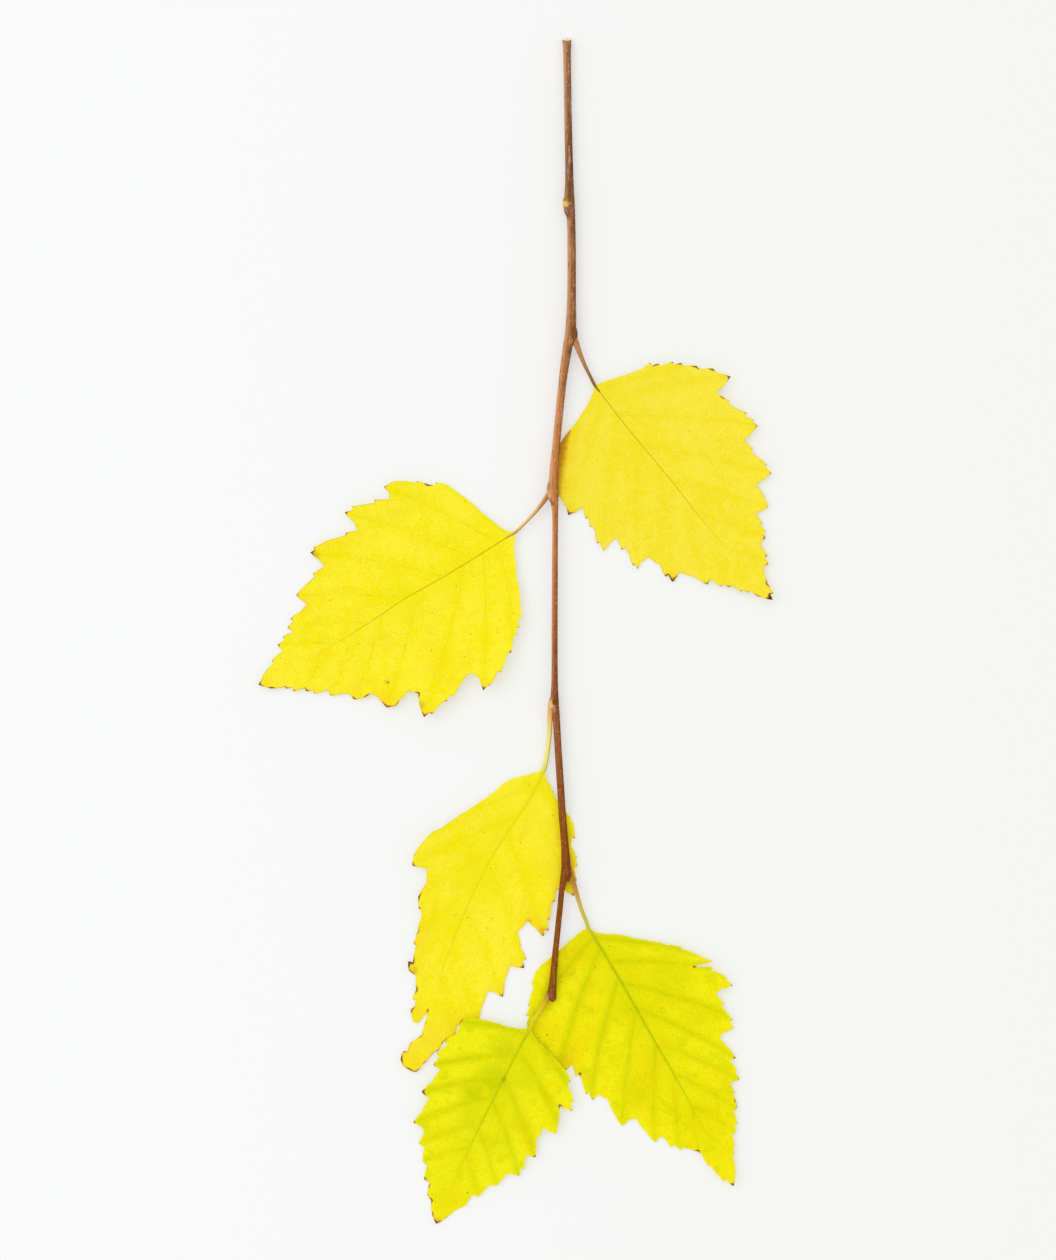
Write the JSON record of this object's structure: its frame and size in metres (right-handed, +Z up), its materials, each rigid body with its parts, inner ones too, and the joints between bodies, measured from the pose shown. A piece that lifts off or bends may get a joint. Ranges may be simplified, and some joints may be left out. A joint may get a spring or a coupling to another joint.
{
  "type": "autumn birch twig with leaves",
  "caption": "Cut birch twig lying flat, with buds along a slightly zigzag stem and yellow toothed autumn leaves on short stalks.",
  "frame": {"origin": "middle of the spray's footprint, on the surface it lies on", "axes": "+Y along the twig towards its cut end, +X across it, +Z up from the surface"},
  "size_m": [0.1282, 0.2957, 0.0047],
  "materials": {
    "bark": "satin red-brown bark",
    "yellow_leaf": "matte yellow leaf",
    "green_yellow_leaf": "matte yellow-green leaf"
  },
  "bodies": {
    "root": {"twig": "bark", "leaf_1": "yellow_leaf", "leaf_2": "yellow_leaf", "leaf_3": "yellow_leaf", "leaf_4": "green_yellow_leaf", "leaf_5": "green_yellow_leaf"}
  },
  "joints": []
}
